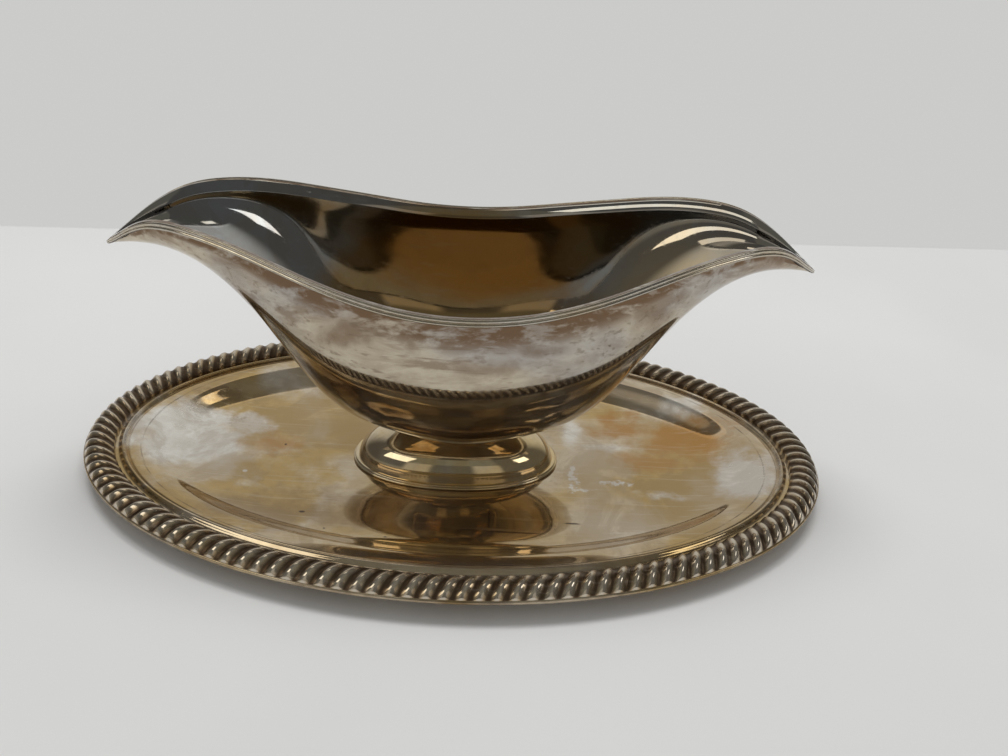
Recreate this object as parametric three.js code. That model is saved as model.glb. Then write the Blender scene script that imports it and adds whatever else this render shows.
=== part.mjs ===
// Double-lipped sauce boat on a low oval foot, fixed to its own oval tray. Millimetres.
// X runs from lip to lip, -Y is the side seen in the photo, and the tray rests on Z = 0.
import * as THREE from 'three';
import { mergeVertices } from 'three/addons/utils/BufferGeometryUtils.js';

const clearance = 0.3; // gap between two pieces that are soldered or clamped together
const sheet = 1.2; // thickness of the bowl's and the tray's metal

// Tray
const trayHalfLength = 120;
const trayHalfWidth = 77.4;
const flangeUnderside = 5.8;
const wellHalfLength = 106.3;
const wellHalfWidth = 63.7;
const wellDepth = 5.9; // from the groove inside the bead down to the flat of the well
const wellSlope = 34; // how wide the rise between them is, seen from above
const bossHalfLength = 14;
const bossHalfWidth = 11;
const bossHeight = 4.2;
const bossSlope = 3;
const studHoleRadius = 2.8;

// The rise from the flat of the well out to the groove: share of its width, share of its height
const wellProfile = [
  [0.0, 0.0],
  [0.235, 0.025],
  [0.44, 0.127],
  [0.53, 0.221],
  [0.618, 0.365],
  [0.735, 0.653],
  [0.794, 0.807],
  [0.88, 0.948],
  [1.0, 1.0],
];

// Bead between the flutes and the well, with a fine groove on its inner side
const cove = 1.3; // plain strip between the flutes' inner ends and the bead
const borderBeadWidth = 2.5;
const borderBeadHeight = 1.3;
const edgeRound = 0.3;
const borderBeadProfile = [[0.0, 0.0], [0.2, 0.31], [0.4, 0.85], [0.64, 1.0], [0.84, 0.69], [1.0, 0.08]];

// Slanted flutes around the tray, soldered on in four lengths
const fluteCount = 132;
const fluteSlant = 5.1; // how far a flute's inner end is moved along the edge
const fluteWidth = 8.4; // from a flute's outer end to its inner end
const fluteInset = 0.8; // from the tray's edge to a flute's outer end
const firstJoint = 0.5959; // place of the first joint, as a share of the way round
const fluteLengths = [
  { name: 'gadroon_front', flutes: 31 },
  { name: 'gadroon_right', flutes: 36 },
  { name: 'gadroon_back', flutes: 33 },
  { name: 'gadroon_left', flutes: 32 },
];

// A flute from its outer end inward: share of its width, ridge height, valley height
const fluteProfile = [
  [0.0, 0.4, 0.25],
  [0.08, 2.0, 1.0],
  [0.2, 3.2, 1.7],
  [0.36, 3.7, 2.1],
  [0.58, 3.2, 2.0],
  [0.82, 1.9, 1.2],
  [1.0, 0.7, 0.5],
];

// Boat
const boatHalfLength = 106.4;
const boatHalfWidth = 45.7;
const bowlUnderside = 15.8; // height of the bowl's lowest point above the table
const bowlDepth = 57.7; // from there up to the rim at the middle
const lipRise = 13.3; // from the rim at the middle up to its highest point
const boatTurn = THREE.MathUtils.degToRad(2.4); // the boat sits a little turned on its tray
const boatShift = 1.2;

// Rim at shares of the half length: width as a share of the half width, rise as a share of lipRise
const rimStations = [
  { share: 0.0, width: 1.0, rise: 0.0 },
  { share: 0.15, width: 0.9825, rise: 0.075 },
  { share: 0.3, width: 0.919, rise: 0.293 },
  { share: 0.45, width: 0.7965, rise: 0.5865 },
  { share: 0.6, width: 0.6477, rise: 0.8797 },
  { share: 0.72, width: 0.512, rise: 1.0 },
  { share: 0.82, width: 0.372, rise: 0.9323 },
  { share: 0.9, width: 0.2363, rise: 0.6165 },
  { share: 0.96, width: 0.1182, rise: 0.2481 },
  { share: 1.0, width: 0.0, rise: -0.0075 },
];
// The bowl's underside along the middle: climb as a share of bowlDepth
const keelStations = [
  { share: 0.0, climb: 0.0 },
  { share: 0.2, climb: 0.0676 },
  { share: 0.4, climb: 0.2773 },
  { share: 0.55, climb: 0.6707 },
  { share: 0.7, climb: 0.948 },
  { share: 0.8, climb: 1.0121 },
  { share: 0.88, climb: 1.0191 },
  { share: 0.94, climb: 1.0069 },
  { share: 1.0, climb: 0.9775 },
];
const fullnessAcross = { middle: 2.34, lip: 1.73 }; // how square a section is across
const fullnessUpright = 2.58;
const lipFlare = 1.2; // how far the rim stands out from the wall
const lipFlareHeight = 3.0;

// Moulded wire around the rim
const rimWireThickness = 0.9;
const rimWireHeight = 2.2;
const rimWireRise = 0.2;
const rimWireTipShare = 0.45; // its height at the lips, as a share of the height elsewhere

// Foot
const footHalfLength = 34;
const footHalfWidth = 20.1;
const footSquareness = 2.16;
const neckHalfLength = 11.5;
const neckHalfWidth = 8.5;
const footSheet = 1.0;
const beadWidth = 2.2;
const beadHeight = 2.2;
// The dome from the bead to the neck: share of the way in, share of the way up
const domeProfile = [
  [0.0, 0.0],
  [0.08, 0.12],
  [0.25, 0.31],
  [0.45, 0.46],
  [0.65, 0.57],
  [0.8, 0.67],
  [0.92, 0.81],
  [1.0, 1.0],
];

// Fixing under the foot
const studRadius = 2.4;
const studHeadRadius = 5.5;
const studHeadHeight = 1.2;
const studEnd = 0.6;
const washerRadius = 6.0;
const washerHeight = 0.6;
const nutAcrossCorners = 10.4;
const nutHeight = 2.2;

// Fineness
const boatSteps = 36;
const sectionSteps = 8;
const traySteps = 60;
const footSteps = 36;

const flangeTop = flangeUnderside + sheet;
const wellTop = sheet;

function silver(colour, roughness) {
  return new THREE.MeshStandardMaterial({ color: colour, metalness: 1, roughness });
}

function solid(name, positions, faces, material) {
  const raw = new THREE.BufferGeometry();
  raw.setAttribute('position', new THREE.Float32BufferAttribute(positions.flat(), 3));
  raw.setIndex(faces.flat());
  const geometry = mergeVertices(raw, 1e-3);
  const kept = [];
  const index = geometry.index.array;
  for (let i = 0; i < index.length; i += 3) {
    const [a, b, c] = [index[i], index[i + 1], index[i + 2]];
    if (a !== b && b !== c && c !== a) {
      kept.push(a, b, c);
    }
  }
  geometry.setIndex(kept);
  geometry.computeVertexNormals();
  const mesh = new THREE.Mesh(geometry, material);
  mesh.name = name;
  return mesh;
}

// Joins equal loops of points into a skin; a ring of loops closes on itself, a row gets end caps
function skin(name, loops, closed, material) {
  const size = loops[0].length;
  const faces = [];
  const last = closed ? loops.length : loops.length - 1;
  for (let i = 0; i < last; i += 1) {
    const here = i * size;
    const next = ((i + 1) % loops.length) * size;
    for (let j = 0; j < size; j += 1) {
      const k = (j + 1) % size;
      faces.push([here + j, here + k, next + k], [here + j, next + k, next + j]);
    }
  }
  if (!closed) {
    const end = (loops.length - 1) * size;
    for (const [a, b, c] of capFaces(loops[0])) {
      faces.push([c, b, a]);
    }
    for (const [a, b, c] of capFaces(loops[loops.length - 1])) {
      faces.push([end + a, end + b, end + c]);
    }
  }
  return solid(name, loops.flat(), faces, material);
}

// Triangles over one loop, found in the plane of the strip's section and turned the loop's way
function capFaces(loop) {
  const [startX, startY] = loop[0];
  const outline = loop.map(([x, y, z]) => new THREE.Vector2(Math.hypot(x - startX, y - startY), z));
  const loopTurn = Math.sign(THREE.ShapeUtils.area(outline));
  return THREE.ShapeUtils.triangulateShape(outline, []).map(([a, b, c]) => {
    const turn = Math.sign(THREE.ShapeUtils.area([outline[a], outline[b], outline[c]]));
    return turn === loopTurn ? [a, b, c] : [a, c, b];
  });
}

// Smooth curve through stations; the object is the same on both sides of the middle
function curveThrough(stations, key) {
  const xs = stations.map((s) => s.share);
  const ys = stations.map((s) => s[key]);
  const slopes = xs.map((x, i) => {
    if (i === 0) {
      return 0;
    }
    if (i === xs.length - 1) {
      return (ys[i] - ys[i - 1]) / (x - xs[i - 1]);
    }
    const before = (ys[i] - ys[i - 1]) / (x - xs[i - 1]);
    const after = (ys[i + 1] - ys[i]) / (xs[i + 1] - x);
    return (before * (xs[i + 1] - x) + after * (x - xs[i - 1])) / (xs[i + 1] - xs[i - 1]);
  });
  return (share) => {
    const x = Math.min(Math.abs(share), 1);
    let i = 0;
    while (i < xs.length - 2 && x > xs[i + 1]) {
      i += 1;
    }
    const width = xs[i + 1] - xs[i];
    const t = (x - xs[i]) / width;
    const blend = t * t * (3 - 2 * t);
    const rise = t * (1 - t) * (1 - t) * width * slopes[i];
    const fall = t * t * (t - 1) * width * slopes[i + 1];
    return ys[i] * (1 - blend) + ys[i + 1] * blend + rise + fall;
  };
}

const rimWidthShare = curveThrough(rimStations, 'width');
const rimRiseShare = curveThrough(rimStations, 'rise');
const keelClimb = curveThrough(keelStations, 'climb');
const rimHalfWidth = (share) => boatHalfWidth * rimWidthShare(share);
const rimHeight = (share) => bowlUnderside + bowlDepth + lipRise * rimRiseShare(share);
const keelHeight = (share) => bowlUnderside + bowlDepth * keelClimb(share);

// The rim's plan moved inward by a given distance, which also makes it shorter
function planInset(inset) {
  const step = 0.002;
  const width = (x) => {
    const share = Math.abs(x) / boatHalfLength;
    const slope = (rimHalfWidth(share + step) - rimHalfWidth(share - step)) / (2 * step * boatHalfLength);
    return rimHalfWidth(share) - inset * Math.hypot(1, slope);
  };
  let low = boatHalfLength * 0.8;
  let high = boatHalfLength;
  for (let i = 0; i < 40; i += 1) {
    const middle = (low + high) / 2;
    if (width(middle) > 0) {
      low = middle;
    } else {
      high = middle;
    }
  }
  return { halfLength: low, width: (x) => Math.max(width(x), 0) };
}

const wallPlan = planInset(rimWireThickness + clearance);
const insidePlan = planInset(rimWireThickness + clearance + sheet);

function wallTop(x) {
  return rimHeight(x / boatHalfLength) - rimWireRise;
}

function keelAt(x, inward) {
  const step = 0.01;
  const share = x / boatHalfLength;
  const slope = (keelHeight(share + step) - keelHeight(share - step)) / (2 * step * boatHalfLength);
  return keelHeight(share) + inward * Math.hypot(1, slope);
}

// One half of a section of the bowl, from the keel up to the rim: [distance out, height]
function halfSection(plan, x, inward) {
  const top = wallTop(x);
  const keel = Math.min(keelAt(x, inward), top - 0.6);
  const share = Math.abs(x) / boatHalfLength;
  const width = plan.width(x);
  const flare = Math.min(lipFlare, 0.15 * width);
  const shoulder = top - Math.min(lipFlareHeight, 0.4 * (top - keel));
  const across = fullnessAcross.middle + (fullnessAcross.lip - fullnessAcross.middle) * share * share;
  const points = [];
  for (let j = 0; j < sectionSteps; j += 1) {
    const turn = (j / (sectionSteps - 1)) * (Math.PI / 2);
    const out = (width - flare) * Math.sin(turn) ** (2 / across);
    points.push([out, shoulder - (shoulder - keel) * Math.cos(turn) ** (2 / fullnessUpright)]);
  }
  points.push([width, top]);
  return points;
}

// Height of the bowl's underside above a point of the plan, in the boat's own frame
function undersideAt(x, y) {
  const top = wallTop(x) - lipFlareHeight;
  const share = Math.abs(x) / boatHalfLength;
  const across = fullnessAcross.middle + (fullnessAcross.lip - fullnessAcross.middle) * share * share;
  const width = wallPlan.width(x) - lipFlare;
  const reach = Math.min(Math.abs(y) / width, 1) ** across;
  return top - (top - keelAt(x, 0)) * (1 - reach) ** (1 / fullnessUpright);
}

function stationShares(steps) {
  return Array.from({ length: steps + 1 }, (_, i) => Math.sin((i / steps - 0.5) * Math.PI));
}

function bowl() {
  const loops = stationShares(boatSteps).map((share) => {
    const outerX = share * wallPlan.halfLength;
    const innerX = share * insidePlan.halfLength;
    const outer = halfSection(wallPlan, outerX, 0);
    const inner = halfSection(insidePlan, innerX, sheet);
    const loop = [];
    for (let j = sectionSteps; j > 0; j -= 1) {
      loop.push([outerX, -outer[j][0], outer[j][1]]);
    }
    for (let j = 0; j <= sectionSteps; j += 1) {
      loop.push([outerX, outer[j][0], outer[j][1]]);
    }
    for (let j = sectionSteps; j > 0; j -= 1) {
      loop.push([innerX, inner[j][0], inner[j][1]]);
    }
    for (let j = 0; j <= sectionSteps; j += 1) {
      loop.push([innerX, -inner[j][0], inner[j][1]]);
    }
    return loop;
  });
  const size = loops[0].length;
  const faces = [];
  for (let i = 0; i < loops.length - 1; i += 1) {
    const here = i * size;
    const next = here + size;
    for (let j = 0; j < size; j += 1) {
      const k = (j + 1) % size;
      faces.push([here + j, here + k, next + k], [here + j, next + k, next + j]);
    }
  }
  return solid('bowl', loops.flat(), faces, silver(0xb9b2a6, 0.22));
}

// The moulded wire runs around the outside of the rim: [share of thickness out, share of height]
function rimWire() {
  const outline = [[0, 0], [0, 1], [0.6, 1], [1, 0.7], [0.7, 0.4], [0.9, 0.15]];
  const outerPlan = planInset(0);
  const innerPlan = planInset(rimWireThickness);
  const shares = stationShares(boatSteps + 8);
  const loops = [];
  const addLoop = (share, side) => {
    const top = rimHeight(share);
    const fade = 1 - (1 - rimWireTipShare) * Math.max(0, (Math.abs(share) - 0.8) / 0.2);
    loops.push(outline.map(([out, up]) => {
      const x = share * THREE.MathUtils.lerp(innerPlan.halfLength, outerPlan.halfLength, out);
      const inner = innerPlan.width(share * innerPlan.halfLength);
      const outer = outerPlan.width(share * outerPlan.halfLength);
      const y = side * THREE.MathUtils.lerp(inner, outer, out);
      return [x, Math.abs(share) < 0.9999 ? y : 0, top - (1 - up) * rimWireHeight * fade];
    }));
  };
  shares.forEach((share) => addLoop(share, -1));
  shares.slice(1, -1).reverse().forEach((share) => addLoop(share, 1));
  return skin('rim_wire', loops, true, silver(0xc4beb2, 0.2));
}

// Point of the foot's oval: half sizes, angle round, height
function footPoint(a, b, angle, z) {
  const c = Math.cos(angle);
  const s = Math.sin(angle);
  const power = 2 / footSquareness;
  return [a * Math.sign(c) * Math.abs(c) ** power, b * Math.sign(s) * Math.abs(s) ** power, z];
}

function foot() {
  const base = wellTop + clearance;
  const domeBase = base + beadHeight;
  const outerA = footHalfLength - beadWidth;
  const outerB = footHalfWidth - beadWidth;
  const loops = [];
  for (let i = 0; i < footSteps; i += 1) {
    const angle = (i / footSteps) * 2 * Math.PI;
    const [topX, topY] = footPoint(neckHalfLength, neckHalfWidth, angle, 0);
    const neckTop = undersideAt(topX - boatShift, topY) - clearance;
    const loop = [];
    const bead = [[1.2, 0], [0.3, 0.25], [0, 1.0], [0.35, 1.75], [1.1, 2.1]];
    for (const [inset, up] of bead) {
      loop.push(footPoint(footHalfLength - inset, footHalfWidth - inset, angle, base + up));
    }
    const dome = (thickness) => domeProfile.map(([inShare, upShare]) => {
      const a = THREE.MathUtils.lerp(outerA, neckHalfLength, inShare) - thickness;
      const b = THREE.MathUtils.lerp(outerB, neckHalfWidth, inShare) - thickness;
      const drop = thickness * (1 - inShare);
      return footPoint(a, b, angle, domeBase + upShare * (neckTop - domeBase) - drop);
    });
    loop.push(...dome(0));
    loop.push(...dome(footSheet).reverse());
    loop.push(footPoint(outerA - footSheet, outerB - footSheet, angle, base));
    loops.push(loop.reverse());
  }
  return skin('foot', loops, true, silver(0xb0a48c, 0.24));
}

// Half sizes and height of the tray's upper side, from its edge inward to the stud's hole
function trayRings() {
  const rings = [];
  const beadInset = fluteInset + fluteWidth + cove;
  const border = [
    [0, flangeTop - edgeRound],
    [edgeRound, flangeTop],
    ...borderBeadProfile.map(([across, up]) => [
      beadInset + across * borderBeadWidth,
      flangeTop + up * borderBeadHeight,
    ]),
  ];
  for (const [inset, z] of border) {
    rings.push({ a: trayHalfLength - inset, b: trayHalfWidth - inset, z });
  }
  for (const [share, climb] of wellProfile.toReversed()) {
    const inset = wellSlope * (1 - share);
    rings.push({ a: wellHalfLength - inset, b: wellHalfWidth - inset, z: wellTop + wellDepth * climb });
  }
  const bossFoot = { a: bossHalfLength + bossSlope, b: bossHalfWidth + bossSlope, z: wellTop };
  rings.push(bossFoot);
  rings.push({ a: bossHalfLength, b: bossHalfWidth, z: wellTop + bossHeight });
  rings.push({ a: studHoleRadius, b: studHoleRadius, z: wellTop + bossHeight });
  return rings;
}

function tray() {
  const top = trayRings();
  const border = 8;
  const under = top.map((ring, i) => {
    if (i === 0) {
      return { ...ring, z: flangeUnderside };
    }
    if (i < border) {
      return { ...ring, z: flangeUnderside };
    }
    const bossWall = i === top.length - 2 || i === top.length - 3 ? sheet : 0;
    return { a: ring.a - bossWall, b: ring.b - bossWall, z: ring.z - sheet };
  });
  const flat = under.filter((ring, i) => i === 0 || i >= 3);
  const rings = [...top, ...flat.reverse()];
  const loops = [];
  for (let i = 0; i < traySteps; i += 1) {
    const angle = (i / traySteps) * 2 * Math.PI;
    loops.push(rings.map(({ a, b, z }) => [a * Math.cos(angle), b * Math.sin(angle), z]).reverse());
  }
  return skin('tray', loops, true, silver(0xb5ab98, 0.25));
}

// The tray's edge, measured by distance along it
function edgeByLength() {
  const samples = 2400;
  const lengths = [0];
  for (let i = 1; i <= samples; i += 1) {
    const from = ((i - 1) / samples) * 2 * Math.PI;
    const to = (i / samples) * 2 * Math.PI;
    const stepX = trayHalfLength * (Math.cos(to) - Math.cos(from));
    const stepY = trayHalfWidth * (Math.sin(to) - Math.sin(from));
    lengths.push(lengths[i - 1] + Math.hypot(stepX, stepY));
  }
  const total = lengths[samples];
  const angleAt = (distance) => {
    const turns = Math.floor(distance / total);
    const rest = distance - turns * total;
    let low = 0;
    let high = samples;
    while (high - low > 1) {
      const middle = (low + high) >> 1;
      if (lengths[middle] > rest) {
        high = middle;
      } else {
        low = middle;
      }
    }
    const part = (rest - lengths[low]) / (lengths[high] - lengths[low]);
    return ((low + part) / samples) * 2 * Math.PI;
  };
  return { total, angleAt };
}

const edge = edgeByLength();

// Point at a distance along the tray's edge, an inset from it and a height
function borderPoint(distance, inset, z) {
  const angle = edge.angleAt(distance);
  const nx = trayHalfWidth * Math.cos(angle);
  const ny = trayHalfLength * Math.sin(angle);
  const length = Math.hypot(nx, ny);
  return [
    trayHalfLength * Math.cos(angle) - (inset * nx) / length,
    trayHalfWidth * Math.sin(angle) - (inset * ny) / length,
    z,
  ];
}

function gadroonLength(name, firstFlute, flutes) {
  const base = flangeTop + clearance;
  const pitch = edge.total / fluteCount;
  const loops = [];
  for (let i = 0; i <= flutes * 2; i += 1) {
    const isRidge = i % 2 === 1;
    let place = firstJoint * edge.total + (firstFlute + i / 2) * pitch;
    if (i === 0) {
      place += clearance / 2;
    }
    if (i === flutes * 2) {
      place -= clearance / 2;
    }
    const loop = fluteProfile.map(([share, ridge, valley]) => {
      const inset = fluteInset + share * fluteWidth;
      return borderPoint(place + share * fluteSlant, inset, base + (isRidge ? ridge : valley));
    });
    loop.push(borderPoint(place + fluteSlant, fluteInset + fluteWidth, base));
    loop.push(borderPoint(place, fluteInset, base));
    loops.push(loop.reverse());
  }
  return skin(name, loops, false, silver(0x9c9284, 0.3));
}

// A turned piece from a closed outline of [radius, height]
function turned(name, outline, segments, material) {
  const points = outline.map(([radius, z]) => new THREE.Vector2(radius, z));
  points.push(points[0].clone());
  const lathe = new THREE.LatheGeometry(points, segments);
  lathe.rotateX(Math.PI / 2);
  const index = Array.from(lathe.index.array);
  const faces = [];
  for (let i = 0; i < index.length; i += 3) {
    faces.push([index[i], index[i + 1], index[i + 2]]);
  }
  const source = lathe.attributes.position;
  const positions = [];
  for (let i = 0; i < source.count; i += 1) {
    positions.push([source.getX(i), source.getY(i), source.getZ(i)]);
  }
  return solid(name, positions, faces, material);
}

function fixing() {
  const steel = silver(0x8f8a80, 0.4);
  const headTop = keelHeight(0) - clearance;
  const bossUnderside = wellTop + bossHeight - sheet;
  const bore = studRadius + clearance;
  const stud = turned('fixing_stud', [
    [0, studEnd],
    [studRadius, studEnd],
    [studRadius, headTop - studHeadHeight],
    [studHeadRadius, headTop - studHeadHeight],
    [studHeadRadius, headTop],
    [0, headTop],
  ], 24, steel);
  const washerTop = bossUnderside - clearance;
  const washer = turned('washer', [
    [bore, washerTop - washerHeight],
    [washerRadius, washerTop - washerHeight],
    [washerRadius, washerTop],
    [bore, washerTop],
  ], 24, steel.clone());
  const nutTop = washerTop - washerHeight - clearance;
  const shape = new THREE.Shape();
  for (let i = 0; i < 6; i += 1) {
    const angle = (i / 6) * 2 * Math.PI;
    const x = (nutAcrossCorners / 2) * Math.cos(angle);
    const y = (nutAcrossCorners / 2) * Math.sin(angle);
    if (i === 0) {
      shape.moveTo(x, y);
    } else {
      shape.lineTo(x, y);
    }
  }
  shape.closePath();
  const hole = new THREE.Path();
  hole.absarc(0, 0, bore, 0, 2 * Math.PI, true);
  shape.holes.push(hole);
  const body = new THREE.ExtrudeGeometry(shape, { depth: nutHeight, bevelEnabled: false, curveSegments: 12 });
  body.translate(0, 0, nutTop - nutHeight);
  const plain = new THREE.BufferGeometry();
  plain.setAttribute('position', body.attributes.position);
  const nut = new THREE.Mesh(mergeVertices(plain, 1e-4), steel.clone());
  nut.geometry.computeVertexNormals();
  nut.name = 'nut';
  return [stud, washer, nut];
}

function sauceBoat() {
  const object = new THREE.Group();
  object.name = 'sauce_boat';
  object.add(tray());
  let firstFlute = 0;
  for (const { name, flutes } of fluteLengths) {
    object.add(gadroonLength(name, firstFlute, flutes));
    firstFlute += flutes;
  }
  const footMesh = foot();
  footMesh.geometry.rotateZ(boatTurn);
  const bowlMesh = bowl();
  const wireMesh = rimWire();
  for (const mesh of [bowlMesh, wireMesh]) {
    mesh.geometry.rotateZ(boatTurn);
    mesh.geometry.translate(boatShift, 0, 0);
  }
  object.add(footMesh, bowlMesh, wireMesh, ...fixing());
  return object;
}

export default sauceBoat();
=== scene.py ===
import math

import bpy
import numpy as np
from mathutils import Matrix, Vector


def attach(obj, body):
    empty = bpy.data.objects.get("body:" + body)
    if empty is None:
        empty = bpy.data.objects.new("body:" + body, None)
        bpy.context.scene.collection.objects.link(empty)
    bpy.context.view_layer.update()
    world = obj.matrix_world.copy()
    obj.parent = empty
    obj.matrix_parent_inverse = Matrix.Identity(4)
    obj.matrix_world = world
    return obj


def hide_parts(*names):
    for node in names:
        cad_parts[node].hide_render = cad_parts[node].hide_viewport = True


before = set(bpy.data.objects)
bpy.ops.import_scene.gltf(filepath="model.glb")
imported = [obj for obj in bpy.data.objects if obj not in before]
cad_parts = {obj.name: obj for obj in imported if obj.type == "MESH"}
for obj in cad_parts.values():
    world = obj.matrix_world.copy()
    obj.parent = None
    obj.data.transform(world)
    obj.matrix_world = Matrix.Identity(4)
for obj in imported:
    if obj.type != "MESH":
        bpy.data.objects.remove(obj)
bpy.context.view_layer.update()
mm = 0.001
print("frame loaded:", len(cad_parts), "nodes")


# Small helpers

def startPiece():
    if bpy.context.object and bpy.context.object.mode != "OBJECT":
        bpy.ops.object.mode_set(mode="OBJECT")
    bpy.ops.object.select_all(action="DESELECT")


def namePiece(name):
    piece = bpy.context.object
    piece.name = name
    piece.data.name = name
    return piece


def applyModifier(piece, kind, **settings):
    modifier = piece.modifiers.new(kind.title(), kind)
    for key, value in settings.items():
        setattr(modifier, key, value)
    bpy.context.view_layer.objects.active = piece
    bpy.ops.object.modifier_apply(modifier=modifier.name)


def smoothOver(piece, degrees):
    startPiece()
    piece.select_set(True)
    bpy.context.view_layer.objects.active = piece
    bpy.ops.object.shade_smooth_by_angle(angle=math.radians(degrees))


def placesOf(piece):
    flat = np.zeros(len(piece.data.vertices) * 3, np.float32)
    piece.data.vertices.foreach_get("co", flat)
    return flat.reshape(-1, 3).astype(float)


def movePoints(piece, places):
    piece.data.vertices.foreach_set("co", places.astype(np.float32).ravel())
    piece.data.update()


def writeAttribute(piece, name, values):
    attribute = piece.data.attributes.new(name, "FLOAT", "POINT")
    attribute.data.foreach_set("value", values.astype(np.float32))


def selectOpenEdges():
    bpy.ops.mesh.select_mode(type="EDGE")
    bpy.ops.mesh.select_all(action="DESELECT")
    bpy.ops.mesh.select_non_manifold(
        extend=False, use_wire=False, use_boundary=True, use_multi_face=False,
        use_non_contiguous=False, use_verts=False)


def turnOutward():
    bpy.ops.mesh.select_all(action="SELECT")
    bpy.ops.mesh.normals_make_consistent(inside=False)
    bpy.ops.object.mode_set(mode="OBJECT")


# Smooth curve through measured points, flat at its first point and free at its last

def curveThrough(stations, flatStart=True):
    xs, ys = np.array(stations, float).T
    n = len(xs)
    gap = np.diff(xs)
    rows = np.zeros((n, n))
    right = np.zeros(n)
    for i in range(1, n - 1):
        rows[i, i - 1:i + 2] = gap[i - 1], 2 * (gap[i - 1] + gap[i]), gap[i]
        right[i] = 6 * ((ys[i + 1] - ys[i]) / gap[i] - (ys[i] - ys[i - 1]) / gap[i - 1])
    if flatStart:
        rows[0, :2] = 2 * gap[0], gap[0]
        right[0] = 6 * (ys[1] - ys[0]) / gap[0]
    else:
        rows[0, 0] = 1
    rows[-1, -1] = 1
    bend = np.linalg.solve(rows, right)

    def at(x):
        x = np.asarray(x, float)
        i = np.clip(np.searchsorted(xs, x) - 1, 0, n - 2)
        before, after, width = x - xs[i], xs[i + 1] - x, gap[i]
        return (bend[i] * after ** 3 + bend[i + 1] * before ** 3) / (6 * width) \
            + (ys[i] / width - bend[i] * width / 6) * after \
            + (ys[i + 1] / width - bend[i + 1] * width / 6) * before
    return at


# Camera

camera = {
    "place": (9.2408, -267.5417, 179.16),
    "lens": 33.9374,
    "pitch": 28.7732,
    "yaw": 1.1166,
    "roll": 3.7353,
}


def addCamera():
    startPiece()
    bpy.ops.object.camera_add(location=[v * mm for v in camera["place"]])
    eye = bpy.context.object
    turn = Matrix.Rotation(-math.radians(camera["yaw"]), 4, "Z") \
        @ Matrix.Rotation(math.radians(90 - camera["pitch"]), 4, "X") \
        @ Matrix.Rotation(math.radians(camera["roll"]), 4, "Z")
    eye.rotation_euler = turn.to_euler()
    eye.data.lens = camera["lens"]
    eye.data.clip_start = 0.01
    bpy.context.scene.camera = eye


addCamera()
print("camera placed")


# Node tools: a value that is a socket is linked, any other is set

def fill(tree, node, inputs):
    for key, value in inputs.items():
        if isinstance(value, bpy.types.NodeSocket):
            tree.links.new(value, node.inputs[key])
        else:
            node.inputs[key].default_value = value


def put(tree, kind, inputs=None, **settings):
    node = tree.nodes.new(kind)
    for key, value in settings.items():
        setattr(node, key, value)
    fill(tree, node, inputs or {})
    return node


def newGroup(name, inputs, outputs):
    group = bpy.data.node_groups.new(name, "ShaderNodeTree")
    for label, kind, value in inputs:
        socket = group.interface.new_socket(name=label, in_out="INPUT",
                                            socket_type="NodeSocket" + kind)
        if value is not None:
            socket.default_value = value
    for label, kind in outputs:
        group.interface.new_socket(name=label, in_out="OUTPUT", socket_type="NodeSocket" + kind)
    return group, group.nodes.new("NodeGroupInput").outputs, group.nodes.new("NodeGroupOutput")


def useGroup(tree, group, inputs):
    node = tree.nodes.new("ShaderNodeGroup")
    node.node_tree = group
    fill(tree, node, inputs)
    return node.outputs


def calc(tree, operation, a, b=0.0, clamp=False):
    return put(tree, "ShaderNodeMath", {0: a, 1: b}, operation=operation,
               use_clamp=clamp).outputs[0]


def timesPlus(tree, value, factor, plus):
    return put(tree, "ShaderNodeMath", {0: value, 1: factor, 2: plus},
               operation="MULTIPLY_ADD").outputs[0]


def vectors(tree, operation, a, b=None):
    inputs = {0: a} if b is None else {0: a, 1: b}
    return put(tree, "ShaderNodeVectorMath", inputs, operation=operation).outputs


def ramp(tree, value, low, high):
    return put(tree, "ShaderNodeMapRange", {"Value": value, "From Min": low, "From Max": high},
               interpolation_type="SMOOTHSTEP").outputs["Result"]


def blendColour(tree, share, a, b):
    ends = [v if isinstance(v, bpy.types.NodeSocket) else (*v, 1) for v in (a, b)]
    node = put(tree, "ShaderNodeMix", {"Factor": share, 6: ends[0], 7: ends[1]}, data_type="RGBA")
    return node.outputs[2]


# A stain or a clean spot with a ragged edge, at a place on the piece

def makeRaggedPatch():
    group, given, out = newGroup("raggedPatch", [
        ("Place", "Vector", None), ("Centre", "Vector", (0, 0, 0)), ("Reach", "Vector", (1, 1, 1)),
        ("Ragged", "Float", 0.5), ("Grain", "Float", 60.0), ("Soft", "Float", 0.4)],
        [("Mask", "Float")])
    away = vectors(group, "SUBTRACT", given["Place"], given["Centre"])[0]
    share = vectors(group, "DIVIDE", away, given["Reach"])[0]
    noise = put(group, "ShaderNodeTexNoise", {"Vector": given["Place"], "Scale": given["Grain"],
                "Detail": 5.0, "Roughness": 0.6})
    shift = vectors(group, "SUBTRACT", noise.outputs["Color"], (0.5, 0.5, 0.5))[0]
    drift = put(group, "ShaderNodeVectorMath", {0: shift, "Scale": given["Ragged"]},
                operation="SCALE").outputs[0]
    far = vectors(group, "LENGTH", vectors(group, "ADD", share, drift)[0])["Value"]
    inner = calc(group, "SUBTRACT", 1.0, given["Soft"])
    group.links.new(ramp(group, far, 1.0, inner), out.inputs["Mask"])
    return group


# Tarnish in clouds, with a finer mottle in it and a few specks

tarnish = {
    "finer": 6.0,
    "wider": 1.6,
    "Cloud": (0.38, 0.64),
    "Mottle": (0.3, 0.7),
    "Blotch": (0.44, 0.57),
    "Film": (0.35, 0.65),
    "speck": (0.1, 0.04),
    "rare": (0.58, 0.66),
}


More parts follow.
